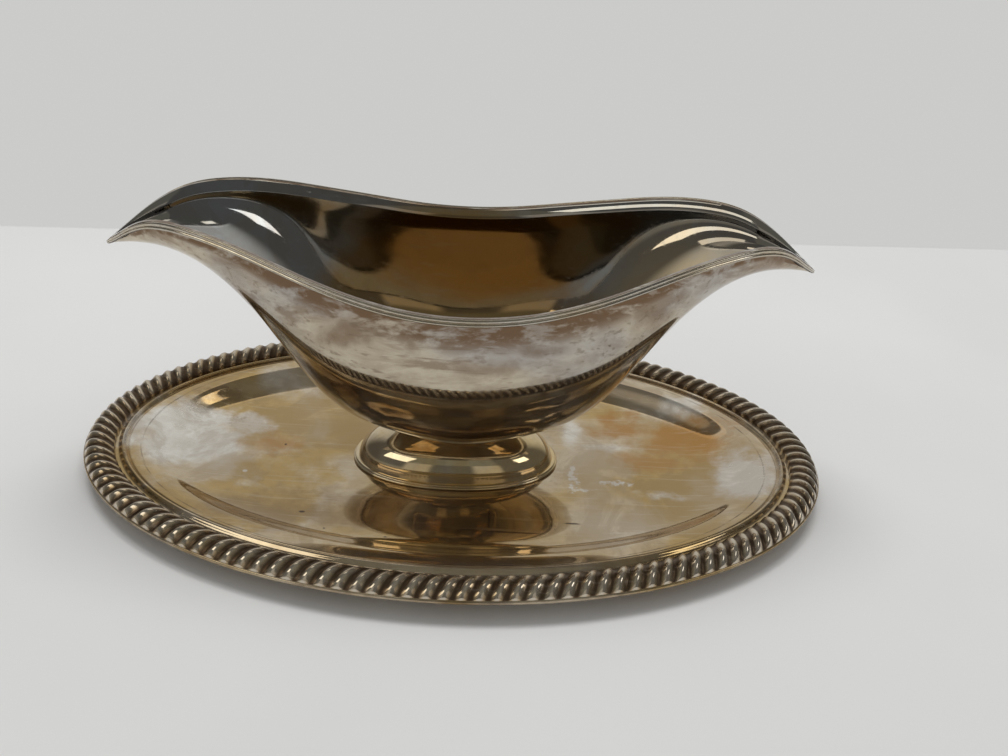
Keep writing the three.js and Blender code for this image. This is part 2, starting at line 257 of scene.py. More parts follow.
def makeTarnishClouds():
    group, given, out = newGroup("tarnishClouds", [
        ("Place", "Vector", None), ("Stretch", "Vector", (1, 1, 1)), ("Size", "Float", 30.0)],
        [(name, "Float") for name in ("Cloud", "Mottle", "Blotch", "Specks", "Film")])
    along = vectors(group, "MULTIPLY", given["Place"], given["Stretch"])[0]
    cloud = put(group, "ShaderNodeTexNoise", {"Vector": along, "Scale": given["Size"],
                "Detail": 4.0, "Roughness": 0.55, "Distortion": 0.6})
    finer = calc(group, "MULTIPLY", given["Size"], tarnish["finer"])
    mottle = put(group, "ShaderNodeTexNoise", {"Vector": along, "Scale": finer,
                 "Detail": 6.0, "Roughness": 0.65, "Distortion": 0.3})
    wider = calc(group, "MULTIPLY", given["Size"], tarnish["wider"])
    blotch = put(group, "ShaderNodeTexNoise", {"Vector": along, "Scale": wider,
                 "Detail": 9.0, "Roughness": 0.62, "Distortion": 0.9})
    film = put(group, "ShaderNodeTexNoise", {"Vector": given["Place"], "Scale": 9.0, "Detail": 2.0})
    spots = put(group, "ShaderNodeTexVoronoi", {"Vector": given["Place"], "Scale": 130.0})
    for name, noise in (("Cloud", cloud), ("Mottle", mottle), ("Blotch", blotch), ("Film", film)):
        group.links.new(ramp(group, noise.outputs["Fac"], *tarnish[name]), out.inputs[name])
    speck = ramp(group, spots.outputs["Distance"], *tarnish["speck"])
    rare = ramp(group, mottle.outputs["Fac"], *tarnish["rare"])
    group.links.new(calc(group, "MULTIPLY", speck, rare), out.inputs["Specks"])
    return group


# Hair-fine wear lines from wiping and polishing, in three directions

wiping = {
    "turns": ((0.2, 0.0), (1.1, 3.0), (-0.7, 7.0)),
    "stretch": (0.03, 1.0, 0.6),
    "level": (0.62, 0.74),
}


def makeWipingLines():
    group, given, out = newGroup("wipingLines", [
        ("Place", "Vector", None), ("Fineness", "Float", 900.0)],
        [("Lines", "Float"), ("Height", "Float")])
    total = None
    for turn, seed in wiping["turns"]:
        turned = put(group, "ShaderNodeMapping", {
            "Vector": given["Place"], "Location": (seed, seed, 0), "Rotation": (0, 0, turn),
            "Scale": wiping["stretch"]})
        hair = put(group, "ShaderNodeTexNoise", {
            "Vector": turned.outputs[0], "Scale": given["Fineness"], "Detail": 2.0,
            "Roughness": 0.5})
        line = ramp(group, hair.outputs["Fac"], *wiping["level"])
        total = line if total is None else calc(group, "MAXIMUM", total, line)
    group.links.new(total, out.inputs["Lines"])
    group.links.new(calc(group, "MULTIPLY", total, -1.0), out.inputs["Height"])
    return group


# Wear: bare metal on what stands out, dark oxide in what lies deep

relief = {
    "uneven": (0.6, -0.3),
    "Oxide": (0.35, 0.95),
    "Bare": (0.45, 0.05),
}


def makeReliefWear():
    group, given, out = newGroup("reliefWear", [
        ("Place", "Vector", None), ("Deep", "Float", 0.0)], [("Oxide", "Float"), ("Bare", "Float")])
    noise = put(group, "ShaderNodeTexNoise", {"Vector": given["Place"], "Scale": 220.0,
                "Detail": 4.0})
    uneven = timesPlus(group, noise.outputs["Fac"], *relief["uneven"])
    depth = calc(group, "ADD", given["Deep"], uneven)
    for name in ("Oxide", "Bare"):
        group.links.new(ramp(group, depth, *relief[name]), out.inputs[name])
    return group


raggedPatch = makeRaggedPatch()
tarnishClouds = makeTarnishClouds()
wipingLines = makeWipingLines()
reliefWear = makeReliefWear()


# A patch: its centre and reach in mm, how ragged it is, the grain of its edge, softness, amount

def patchAt(at, reach, ragged, grain, soft, amount, hollow=None):
    return {"at": at, "reach": reach, "ragged": ragged, "grain": grain, "soft": soft,
            "amount": amount, "hollow": hollow}


def patchMask(tree, place, patches):
    def maskOf(patch, size=1, soft=None):
        return useGroup(tree, raggedPatch, {
            "Place": place, "Centre": [v * mm for v in patch["at"]],
            "Reach": [v * mm * size for v in patch["reach"]], "Ragged": patch["ragged"],
            "Grain": patch["grain"], "Soft": soft or patch["soft"]})["Mask"]

    total = None
    for patch in patches:
        mask = maskOf(patch)
        if patch["hollow"]:
            inner = maskOf(patch, size=patch["hollow"], soft=0.3)
            mask = calc(tree, "SUBTRACT", mask, inner, clamp=True)
        mask = calc(tree, "MULTIPLY", mask, patch["amount"])
        total = mask if total is None else calc(tree, "MAXIMUM", total, mask)
    return total


def emptyMaterial(name):
    material = bpy.data.materials.new(name)
    material.use_nodes = True
    material.node_tree.nodes.clear()
    return material, material.node_tree


def closeMaterial(tree, shader):
    surface = put(tree, "ShaderNodeOutputMaterial")
    tree.links.new(shader.outputs[0], surface.inputs["Surface"])


# Colours and measures of the metal that a piece's own look adds to or changes

tones = {
    "silver": (0.70, 0.665, 0.60),
    "gold": (0.52, 0.39, 0.20),
    "brown": (0.28, 0.185, 0.10),
    "orange": (0.46, 0.27, 0.11),
    "dark": (0.07, 0.045, 0.03),
    "stretch": (1, 1, 1),
    "specks": 0.6,
    "fineness": 900.0,
    "lineTone": 0.12,
    "lineRough": 0.08,
    "oxideRough": 0.25,
    "waves": 3.0,
    "dents": 0.01,
    "scratches": 0.01,
    "bump": 0.25,
    "bumpDepth": 0.00006,
    "paleRough": 0.12,
    "metallic": 1.0,
}


def platedSilver(name, look, patches=None, deep=None, rimward=None):
    patches = patches or {}
    material, tree = emptyMaterial(name)
    place = put(tree, "ShaderNodeTexCoord").outputs["Object"]
    clouds = useGroup(tree, tarnishClouds, {"Place": place, "Stretch": look["stretch"],
                                            "Size": look["cloudSize"]})
    lines = useGroup(tree, wipingLines, {"Place": place, "Fineness": look["fineness"]})
    gold = timesPlus(tree, clouds["Cloud"], look["goldSpread"], look["goldLeast"])
    if "gold" in patches:
        gold = calc(tree, "MAXIMUM", gold, patchMask(tree, place, patches["gold"]))
    pale = patchMask(tree, place, patches["pale"]) if "pale" in patches else None
    if pale is not None:
        clean = calc(tree, "SUBTRACT", 1.0, pale)
        gold = calc(tree, "MULTIPLY", gold, clean)
    colour = blendColour(tree, gold, look["silver"], look["gold"])
    brown = calc(tree, "MULTIPLY", clouds["Mottle"], look["brownMottle"])
    if "blotches" in look:
        blotch = calc(tree, "MULTIPLY", clouds["Blotch"], look["blotches"])
        brown = calc(tree, "MAXIMUM", brown, blotch)
    if "brown" in patches:
        brown = calc(tree, "MAXIMUM", brown, patchMask(tree, place, patches["brown"]))
    if rimward:
        height = put(tree, "ShaderNodeAttribute", attribute_name="rimward").outputs["Fac"]
        # Painted shade under the rim: the outside is darkened to brown, darkest at the rim and
        # fading downward, broken up by the tarnish mottle
        band = ramp(tree, height, *rimward["band"])
        broken = ramp(tree, clouds["Mottle"], *rimward["broken"])
        rimShadeAndStain = calc(tree, "MULTIPLY", calc(tree, "MULTIPLY", band, broken), rimward["amount"])
        brown = calc(tree, "MAXIMUM", brown, rimShadeAndStain)
    colour = blendColour(tree, brown, colour, look["brown"])
    if "orange" in patches:
        colour = blendColour(tree, patchMask(tree, place, patches["orange"]), colour,
                             look["orange"])
    if "dark" in patches:
        colour = blendColour(tree, patchMask(tree, place, patches["dark"]), colour, look["dark"])
    colour = blendColour(tree, calc(tree, "MULTIPLY", clouds["Specks"], look["specks"]),
                         colour, look["dark"])
    rough = timesPlus(tree, clouds["Mottle"], look["roughSpread"], look["roughLeast"])
    if pale is not None:
        rough = calc(tree, "ADD", rough, calc(tree, "MULTIPLY", pale, look["paleRough"]))
    if deep:
        wear = useGroup(tree, reliefWear, {"Place": place, "Deep": put(
            tree, "ShaderNodeAttribute", attribute_name="deep").outputs["Fac"]})
        bare = calc(tree, "MULTIPLY", wear["Bare"], deep["bare"])
        colour = blendColour(tree, bare, colour, look["silver"])
        oxide = calc(tree, "MULTIPLY", wear["Oxide"], deep["oxide"])
        colour = blendColour(tree, oxide, colour, look["dark"])
        rough = calc(tree, "ADD", rough, calc(tree, "MULTIPLY", wear["Oxide"], look["oxideRough"]))
    scratched = calc(tree, "MULTIPLY", lines["Lines"], look["lineTone"])
    colour = blendColour(tree, scratched, colour, look.get("lineColour", look["silver"]))
    rough = calc(tree, "ADD", rough, calc(tree, "MULTIPLY", lines["Lines"], look["lineRough"]))
    height = calc(tree, "ADD", calc(tree, "MULTIPLY", clouds["Film"], look["waves"]),
                  calc(tree, "ADD", calc(tree, "MULTIPLY", clouds["Mottle"], look["dents"]),
                       calc(tree, "MULTIPLY", lines["Height"], look["scratches"])))
    bump = put(tree, "ShaderNodeBump", {"Strength": look["bump"], "Distance": look["bumpDepth"],
                                        "Height": height})
    closeMaterial(tree, put(tree, "ShaderNodeBsdfPrincipled", {
        "Base Color": colour, "Metallic": look["metallic"], "Roughness": rough,
        "Normal": bump.outputs["Normal"]}))
    return material


# Tray: one circle, drawn out ring by ring over the top, down the stud's hole and back below

tray = {
    "points": 320,
    "halfLength": 120.0,
    "halfWidth": 77.4,
    "wellHalfLength": 106.3,
    "wellHalfWidth": 63.7,
    "wellDepth": 5.9,
    "slopeWidth": 34.0,
    "well": [(0, 0), (0.12, 0.007), (0.235, 0.025), (0.353, 0.068), (0.44, 0.127),
             (0.53, 0.221), (0.618, 0.365), (0.676, 0.497), (0.735, 0.653), (0.794, 0.807),
             (0.853, 0.919), (0.912, 0.975), (0.97, 0.995), (1, 1)],
    "sheet": 1.2,
    "bossHalfLength": 14.0,
    "bossHalfWidth": 11.0,
    "bossTop": 5.4,
    "bossSlope": 3.0,
    "studHole": 2.8,
    "wellRings": 60,
    "border": [(0.0, 6.4), (0.08, 6.75), (0.3, 6.95), (0.6, 7.0), (10.2, 7.0), (10.6, 7.08),
               (10.9, 7.3), (11.2, 7.65), (11.5, 8.0), (11.8, 8.22), (12.1, 8.3), (12.4, 8.2),
               (12.65, 7.95), (12.85, 7.6), (13.0, 7.2), (13.1, 6.95), (13.25, 6.82), (13.4, 6.85),
               (13.55, 6.98)],
    "borderUnder": [(12.5, 5.8), (0.4, 5.8), (0.1, 5.9), (0.0, 6.1)],
    "grime": {"cove": (9.6, 0.9, 0.75), "groove": (13.2, 0.5, 0.8), "edge": (0.0, 1.0, 0.62)},
}


def drawRings(rings):
    for before, now in zip(rings, rings[1:]):
        bpy.ops.mesh.extrude_edges_move()
        bpy.ops.transform.resize(value=(now[0] / before[0], now[1] / before[1], 1),
                                 center_override=(0, 0, 0))
        bpy.ops.transform.translate(value=(0, 0, (now[2] - before[2]) * mm))


def startRing(points, ring):
    startPiece()
    bpy.ops.mesh.primitive_circle_add(vertices=points, radius=1, location=(0, 0, 0))
    bpy.ops.object.mode_set(mode="EDIT")
    bpy.ops.mesh.select_mode(type="EDGE")
    bpy.ops.mesh.select_all(action="SELECT")
    bpy.ops.transform.resize(value=(ring[0] * mm, ring[1] * mm, 1))
    bpy.ops.transform.translate(value=(0, 0, ring[2] * mm))


def closeRings():
    bpy.ops.mesh.select_all(action="SELECT")
    bpy.ops.mesh.remove_doubles(threshold=0.00002)
    turnOutward()


def trayRings():
    def fromEdge(points):
        return [(tray["halfLength"] - inset, tray["halfWidth"] - inset, z) for inset, z in points]

    top = fromEdge(tray["border"])
    climb = curveThrough(tray["well"])
    for share in np.linspace(1, 0, tray["wellRings"]):
        inset = (1 - share) * tray["slopeWidth"]
        top.append((tray["wellHalfLength"] - inset, tray["wellHalfWidth"] - inset,
                    tray["sheet"] + tray["wellDepth"] * float(climb(share))))
    boss, slope = (tray["bossHalfLength"], tray["bossHalfWidth"]), tray["bossSlope"]
    sheet, hole = tray["sheet"], tray["studHole"]
    top.append((boss[0] + slope, boss[1] + slope, tray["sheet"]))
    top.append((*boss, tray["bossTop"]))
    top.append((hole, hole, tray["bossTop"]))
    under = [(hole, hole, tray["bossTop"] - sheet)]
    under.append((boss[0] - sheet, boss[1] - sheet, tray["bossTop"] - sheet))
    under.append((boss[0] + slope - sheet, boss[1] + slope - sheet, 0.0))
    well = [(a, b, z - sheet) for a, b, z in top[len(tray["border"]):-3]]
    under += well[::-1][::2]
    return top + under + fromEdge(tray["borderUnder"]) + [top[0]]


# Where grime sits on the tray, by the rough distance in from its edge: middle, reach, amount

def trayDeep(places):
    x, y = places[:, 0], places[:, 1]
    inset = tray["halfWidth"] * (1 - np.hypot(x / tray["halfLength"], y / tray["halfWidth"]))
    inset *= np.hypot(x, y) / tray["halfWidth"] * 0.5 + 0.5
    return np.maximum.reduce([np.clip(1 - np.abs(inset - middle) / reach, 0, 1) * amount
                              for middle, reach, amount in tray["grime"].values()])


def makeTray():
    rings = trayRings()
    startRing(tray["points"], rings[0])
    drawRings(rings)
    closeRings()
    piece = namePiece("trayPlate")
    smoothOver(piece, 50)
    patches = {
        "pale": [
            patchAt((-62, 40, 5), (20, 12, 90), 2.2, 60, 0.9, 0.6),
            patchAt((-91, 2, 5), (22, 24, 90), 1.5, 55, 0.4, 1.0),
            patchAt((-72, 12, 5), (10, 8, 90), 2.2, 90, 0.6, 0.8),
            patchAt((95, -8, 5), (14, 18, 90), 1.8, 60, 0.5, 0.95),
            patchAt((40, 18, 5), (5, 12, 90), 2.0, 80, 0.7, 0.8),
            patchAt((52, 10, 5), (14, 4, 90), 2.4, 90, 0.8, 0.6),
            patchAt((82, 34, 5), (13, 8, 90), 2.2, 80, 0.7, 0.8),
            patchAt((39, -8, 5), (1.8, 8, 90), 4.5, 260, 0.5, 0.9),
            patchAt((53, -11, 5), (8, 1.5, 90), 4.5, 260, 0.5, 0.9),
            patchAt((42, -16, 5), (6, 1.0, 90), 4.5, 260, 0.5, 0.8),
            patchAt((68, -17, 5), (10, 5, 90), 3.0, 120, 0.9, 0.6),
            patchAt((-67, -15, 5), (1, 1, 90), 0.5, 300, 0.5, 0.9),
        ],
        "gold": [
            patchAt((-52, -10, 5), (30, 30, 90), 1.6, 70, 0.8, 1.0),
            patchAt((0, -50, 5), (90, 22, 90), 1.2, 70, 0.8, 1.0),
            patchAt((-64, -34, 5), (40, 24, 90), 1.2, 70, 0.5, 1.0),
        ],
        "brown": [
            patchAt((-76, 15, 5), (6, 5, 90), 2.6, 160, 0.9, 0.7),
            patchAt((-86, 27, 5), (17, 6, 90), 2.4, 110, 0.9, 0.75),
            patchAt((0, -62, 5), (80, 7, 90), 1.6, 60, 0.9, 0.6),
            patchAt((-54, -37, 5), (50, 24, 90), 2.0, 60, 0.8, 0.75),
            patchAt((30, -50, 5), (50, 10, 90), 2.2, 60, 0.9, 0.4),
        ],
        "orange": [
            patchAt((76, 17, 5), (27, 18, 90), 2.2, 70, 0.8, 0.95),
            patchAt((58, 24, 5), (18, 12, 90), 2.2, 90, 0.8, 0.9),
            patchAt((64, 2, 5), (18, 8, 90), 2.4, 90, 0.8, 0.7),
            patchAt((-60, 2, 5), (14, 9, 90), 2.4, 100, 0.9, 0.7),
        ],
        "dark": [
            patchAt((-57.5, 1.6, 5), (0.5, 0.7, 90), 0.5, 400, 0.5, 0.9),
            patchAt((-44.7, -35.3, 5), (1.2, 0.7, 90), 0.6, 400, 0.5, 0.9),
            patchAt((-36.5, -44.0, 5), (0.5, 0.5, 90), 0.5, 400, 0.5, 0.9),
            patchAt((-18.2, -46.3, 5), (0.6, 0.5, 90), 0.5, 400, 0.5, 0.8),
            patchAt((37.5, -33.9, 5), (3.2, 0.6, 90), 0.9, 300, 0.5, 0.8),
            patchAt((20, -40, 5), (11, 0.5, 90), 0.7, 200, 0.5, 0.7),
            patchAt((12, -33, 5), (0.5, 7, 90), 0.8, 200, 0.5, 0.5),
            patchAt((6, -42, 5), (5, 3.6, 90), 0.5, 150, 0.5, 0.7, hollow=0.72),
        ],
    }
    writeAttribute(piece, "deep", trayDeep(placesOf(piece) / mm))
    look = {**tones, "silver": (0.88, 0.85, 0.79), "gold": (0.56, 0.395, 0.17),
            "orange": (0.47, 0.25, 0.08), "cloudSize": 22.0, "goldSpread": 0.45, "goldLeast": 0.55,
            "brownMottle": 0.3, "blotches": 0.4, "roughLeast": 0.03, "roughSpread": 0.05,
            "paleRough": 0.14, "metallic": 0.86}
    piece.data.materials.append(platedSilver("traySilver", look, patches,
                                             deep={"bare": 0, "oxide": 0.85}))
    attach(piece, "root")
    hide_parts("tray")


makeTray()
print("tray made")


# Fluted border: one straight flute, repeated to a strip, then laid round the tray's edge

border = {
    "count": 132,
    "slant": 5.4,
    "width": 8.8,
    "inset": 0.4,
    "base": 7.0,
    "gap": 0.15,
    "innerOxide": 0.4,
    "firstJoint": 0.5959,
    "lengths": (("borderFront", "gadroon_front", 31), ("borderRight", "gadroon_right", 36),
                ("borderBack", "gadroon_back", 33), ("borderLeft", "gadroon_left", 32)),
    "across": 10,
    "along": 11,
    "rowCrowding": 1.5,
    "edgePoints": 7201,
}
ridgeCurve = curveThrough([(0, 0.3), (0.03, 1.0), (0.09, 1.9), (0.18, 2.75), (0.34, 3.6),
                           (0.58, 3.65), (0.82, 2.7), (1, 1.2)], flatStart=False)
valleyCurve = curveThrough([(0, 0.15), (0.08, 0.95), (0.2, 1.85), (0.36, 2.7), (0.58, 2.75),
                            (0.82, 1.8), (1, 0.6)], flatStart=False)


def edgeLengths():
    angles = np.linspace(0, 2 * math.pi, border["edgePoints"])
    points = np.stack([tray["halfLength"] * np.cos(angles), tray["halfWidth"] * np.sin(angles)], 1)
    steps = np.hypot(*np.diff(points, axis=0).T)
    return angles, np.concatenate([[0], np.cumsum(steps)])


edgeAngles, edgeSteps = edgeLengths()
pitch = edgeSteps[-1] / border["count"]


def layAlongEdge(places):
    along = places[:, 0] % edgeSteps[-1]
    angle = np.interp(along, edgeSteps, edgeAngles)
    nx, ny = tray["halfWidth"] * np.cos(angle), tray["halfLength"] * np.sin(angle)
    size = np.hypot(nx, ny)
    return np.stack([tray["halfLength"] * np.cos(angle) - places[:, 1] * nx / size,
                     tray["halfWidth"] * np.sin(angle) - places[:, 1] * ny / size, places[:, 2]], 1)


def makeFlute():
    startPiece()
    bpy.ops.mesh.primitive_grid_add(x_subdivisions=border["across"],
                                    y_subdivisions=border["along"], size=1)
    piece = bpy.context.object
    flat = placesOf(piece)
    across, share = flat[:, 0] + 0.5, flat[:, 1] + 0.5
    share = share ** border["rowCrowding"]
    crown = 0.5 - 0.5 * np.cos(2 * np.pi * across)
    ridge, valley = ridgeCurve(share), valleyCurve(share)
    shaped = np.stack([across * pitch + share * border["slant"],
                       border["inset"] + share * border["width"],
                       border["base"] + valley + (ridge - valley) * crown], 1)
    movePoints(piece, shaped)
    writeAttribute(piece, "deep", np.clip(1 - crown + border["innerOxide"] * share ** 2, 0, 1))
    bpy.ops.object.mode_set(mode="EDIT")
    bpy.ops.mesh.select_mode(type="EDGE")
    for end in (0, 1):
        bpy.ops.mesh.select_all(action="DESELECT")
        bpy.ops.object.mode_set(mode="OBJECT")
        for edge in piece.data.edges:
            edge.select = all(abs(shaped[v][1] - border["inset"] - end * border["width"]) < 1e-4
                              for v in edge.vertices)
        bpy.ops.object.mode_set(mode="EDIT")
        bpy.ops.mesh.extrude_edges_move()
        bpy.ops.object.mode_set(mode="OBJECT")
        shaped = placesOf(piece)
        shaped[[v.index for v in piece.data.vertices if v.select], 2] = border["base"]
        movePoints(piece, shaped)
        bpy.ops.object.mode_set(mode="EDIT")
    bpy.ops.object.mode_set(mode="OBJECT")
    for edge in piece.data.edges:
        edge.select = all(abs(shaped[v][2] - border["base"]) < 1e-6 for v in edge.vertices)
    bpy.ops.object.mode_set(mode="EDIT")
    bpy.ops.mesh.bridge_edge_loops()
    bpy.ops.object.mode_set(mode="OBJECT")
    return piece


def borderPiece(name, node, first, flutes, pattern, material):
    startPiece()
    pattern.select_set(True)
    bpy.context.view_layer.objects.active = pattern
    bpy.ops.object.duplicate()
    piece = namePiece(name)
    applyModifier(piece, "ARRAY", count=flutes, use_relative_offset=False,
                  use_constant_offset=True, constant_offset_displace=(pitch, 0, 0),
                  use_merge_vertices=True, merge_threshold=0.001)
    startPiece()
    piece.select_set(True)
    bpy.context.view_layer.objects.active = piece
    bpy.ops.object.mode_set(mode="EDIT")
    selectOpenEdges()
    bpy.ops.mesh.fill()
    turnOutward()
    strip = placesOf(piece)
    length = flutes * pitch
    plain = strip[:, 0] - (strip[:, 1] - border["inset"]) / border["width"] * border["slant"]
    shrink = 1 - 2 * border["gap"] / length
    strip[:, 0] += (plain - length / 2) * (shrink - 1)
    strip[:, 0] += border["firstJoint"] * edgeSteps[-1] + first * pitch
    movePoints(piece, layAlongEdge(strip) * mm)
    bpy.ops.object.mode_set(mode="EDIT")
    turnOutward()
    smoothOver(piece, 60)
    piece.data.materials.clear()
    piece.data.materials.append(material)
    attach(piece, "root")
    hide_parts(node)


def makeBorder():
    look = {**tones, "silver": (0.67, 0.605, 0.51), "gold": (0.50, 0.38, 0.23),
            "dark": (0.085, 0.052, 0.03), "cloudSize": 40.0, "goldSpread": 0.5, "goldLeast": 0.45,
            "brownMottle": 0.4, "roughLeast": 0.07, "roughSpread": 0.08, "dents": 0.06,
            "metallic": 0.9}
    material = platedSilver("borderSilver", look, deep={"bare": 0.75, "oxide": 0.95})
    pattern = makeFlute()
    first = 0
    for name, node, flutes in border["lengths"]:
        borderPiece(name, node, first, flutes, pattern, material)
        first += flutes
    bpy.data.objects.remove(pattern)


makeBorder()
print("border made")


# Boat: measured half widths, rim heights and keel heights at shares of the half length

boat = {
    "halfLength": 106.4,
    "halfWidth": 45.7,
    "underside": 15.8,
    "depth": 57.7,
    "lipRise": 13.23,
    "turn": 2.4,
    "shift": 1.2,
    "sheet": 1.2,
    "gap": 0.3,
    "wire": 0.9,
    "flare": {"outer": 1.3, "inner": 1.8},
    "flareHeight": 3.2,
    "across": (2.34, 1.73),
    "upright": 2.58,
    "along": 200,
    "up": 64,
    "flareShare": 0.16,
    "flareLimits": (0.15, 0.4),
    "flareBend": 1.9,
    "belowRim": 0.2,
    "leastWall": 0.6,
    "crowding": 0.35,
    "slopeStep": {"plan": 0.002, "keel": 0.01},
}
widthShare = curveThrough([(0, 1), (0.15, 0.9825), (0.3, 0.919), (0.45, 0.7965), (0.6, 0.6477),
                           (0.72, 0.512), (0.82, 0.372), (0.9, 0.2363), (0.96, 0.1182), (1, 0)])
riseShare = curveThrough([(0, 0), (0.15, 0.075), (0.3, 0.293), (0.45, 0.5865), (0.6, 0.8797),
                          (0.72, 1), (0.82, 0.9323), (0.9, 0.6165), (0.96, 0.2481), (1, -0.0075)])
climbShare = curveThrough([(0, 0), (0.2, 0.0676), (0.4, 0.2773), (0.55, 0.6707), (0.7, 0.948),
                           (0.8, 1.0121), (0.88, 1.0191), (0.94, 1.0069), (1, 0.9775)])


def fromMiddle(share):
    return np.clip(np.abs(share), 0, 1)


def rimHalfWidth(share):
    return boat["halfWidth"] * widthShare(fromMiddle(share))


def rimHeight(share):
    return boat["underside"] + boat["depth"] + boat["lipRise"] * riseShare(fromMiddle(share))


def keelHeight(share):
    return boat["underside"] + boat["depth"] * climbShare(fromMiddle(share))


def slopeOf(curve, share, step):
    return (curve(share + step) - curve(share - step)) / (2 * step * boat["halfLength"])


def planWidth(x, inset):
    share = x / boat["halfLength"]
    slope = slopeOf(rimHalfWidth, share, boat["slopeStep"]["plan"])
    return rimHalfWidth(share) - inset * np.hypot(1, slope)


# How far along the plan reaches before its width is nothing, found by halving

def planEnd(inset):
    low, high = 0.8 * boat["halfLength"], boat["halfLength"]
    for _ in range(40):
        middle = (low + high) / 2
        low, high = (middle, high) if planWidth(middle, inset) > 0 else (low, middle)
    return low


def keelAt(x, inward):
    share = x / boat["halfLength"]
    slope = slopeOf(keelHeight, share, boat["slopeStep"]["keel"])
    return keelHeight(share) + inward * np.hypot(1, slope)


def roundness(share):
    return boat["across"][0] + (boat["across"][1] - boat["across"][0]) * share ** 2


def wallPoint(along, up, inset, inward, flareBy):
    end = planEnd(inset)
    x = along * (1 + boat["crowding"] * (1 - along ** 2)) * end
    share = np.abs(x) / boat["halfLength"]
    top = rimHeight(share) - boat["belowRim"]
    keel = np.minimum(keelAt(x, inward), top - boat["leastWall"])
    width = np.maximum(planWidth(x, inset), 0)
    flare = np.minimum(flareBy, boat["flareLimits"][0] * width)
    shoulder = top - np.minimum(boat["flareHeight"], boat["flareLimits"][1] * (top - keel))
    across = roundness(share)
    part = np.abs(up)
    wall = 1 - boat["flareShare"]
    turn = np.clip(part / wall, 0, 1) * math.pi / 2
    rest = np.clip((part - wall) / boat["flareShare"], 0, 1)
    out = (width - flare) * np.sin(turn) ** (2 / across) + flare * rest ** boat["flareBend"]
    z = shoulder - (shoulder - keel) * np.maximum(np.cos(turn), 0) ** (2 / boat["upright"]) \
        + (top - shoulder) * rest
    closed = np.abs(along) > 0.9999
    return x, np.where(closed, 0, np.sign(up) * out), z


def turnBoat(x, y, z):
    angle = math.radians(boat["turn"])
    return np.stack([x * math.cos(angle) - y * math.sin(angle) + boat["shift"],
                     x * math.sin(angle) + y * math.cos(angle), z], 1) * mm


def boatSheet(inset, inward, flareBy):
    startPiece()
    bpy.ops.mesh.primitive_grid_add(x_subdivisions=boat["along"], y_subdivisions=boat["up"], size=2)
    piece = bpy.context.object
    flat = placesOf(piece)
    along, up = np.clip(flat[:, 0], -1, 1), np.clip(flat[:, 1], -1, 1)
    movePoints(piece, turnBoat(*wallPoint(along, up, inset, inward, flareBy)))
    writeAttribute(piece, "rimward", np.abs(up))
    bpy.ops.object.mode_set(mode="EDIT")
    bpy.ops.mesh.select_all(action="SELECT")
    bpy.ops.mesh.remove_doubles(threshold=0.00001)
    bpy.ops.object.mode_set(mode="OBJECT")
    return piece


def makeBowl():
    inset = boat["wire"] + boat["gap"]
    outer = boatSheet(inset, 0, boat["flare"]["outer"])
    inner = boatSheet(inset + boat["sheet"], boat["sheet"], boat["flare"]["inner"])
    outside = platedSilver("boatOutsideSilver", {
        **tones, "silver": (0.51, 0.485, 0.445), "gold": (0.78, 0.65, 0.44),
        "brown": (0.18, 0.105, 0.055), "cloudSize": 30.0, "stretch": (0.5, 1, 1.2),
        "goldSpread": 0.5, "goldLeast": 0.0, "brownMottle": 0.4, "blotches": 0.6, "specks": 0.8,
        "lineTone": 0.5, "lineColour": (0.2, 0.14, 0.09), "roughLeast": 0.03,
        "roughSpread": 0.06, "metallic": 0.97}, {
        "pale": [
            patchAt((41, -36, 64), (9, 20, 9), 1.5, 60, 0.7, 0.8),
            patchAt((-62, -24, 74), (16, 20, 9), 1.5, 60, 0.7, 0.6)],
        "gold": [patchAt((0, 0, 16), (90, 60, 34), 0.5, 30, 0.5, 0.6)],
        "brown": [
            patchAt((-28, -38, 66), (18, 30, 9), 2.2, 60, 0.9, 0.75),
            patchAt((-12, -40, 64), (4, 30, 9), 2.0, 90, 0.9, 0.7),
            patchAt((8, -40, 58), (20, 30, 5), 2.0, 90, 0.9, 0.6),
            patchAt((22, -40, 64), (11, 30, 4), 2.0, 90, 0.9, 0.7),
            patchAt((55, -32, 71), (16, 30, 9), 2.2, 70, 0.9, 0.7),
            patchAt((-60, -24, 79), (14, 30, 3), 1.6, 80, 0.9, 0.6),
            patchAt((-90, -10, 83), (16, 20, 5), 1.6, 80, 0.9, 0.9),
            patchAt((92, -8, 83), (20, 20, 8), 1.6, 80, 0.9, 0.95)]},
        # rimward band: painted shade under the rim as dark brown, broken up by tarnish
        rimward={"band": (0.772, 0.83), "broken": (-0.2, 0.6), "amount": 0.95})
    inside = platedSilver("boatInsideSilver", {
        **tones, "silver": (0.42, 0.44, 0.45), "gold": (0.40, 0.27, 0.125),
        "orange": (0.66, 0.52, 0.32), "cloudSize": 24.0, "goldSpread": 0.3, "goldLeast": 0.0,
        "brownMottle": 0.1, "blotches": 0.25, "roughLeast": 0.035, "roughSpread": 0.05}, {
        "gold": [patchAt((-2, 10, 46), (54, 70, 46), 0.7, 30, 0.3, 1.0)],
        "orange": [patchAt((60, 4, 56), (44, 40, 40), 0.6, 30, 0.6, 0.85)]})
    outer.data.materials.append(outside)
    inner.data.materials.append(inside)
    startPiece()
    inner.select_set(True)
    outer.select_set(True)
    bpy.context.view_layer.objects.active = outer
    bpy.ops.object.join()
    bpy.ops.object.mode_set(mode="EDIT")
    selectOpenEdges()
    bpy.ops.mesh.bridge_edge_loops()
    turnOutward()
    piece = namePiece("boatBowl")
    smoothOver(piece, 50)
    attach(piece, "root")
    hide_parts("bowl")


makeBowl()
print("bowl made")


# Moulded wire round the rim: [out, up] round its section, from the outside over the top

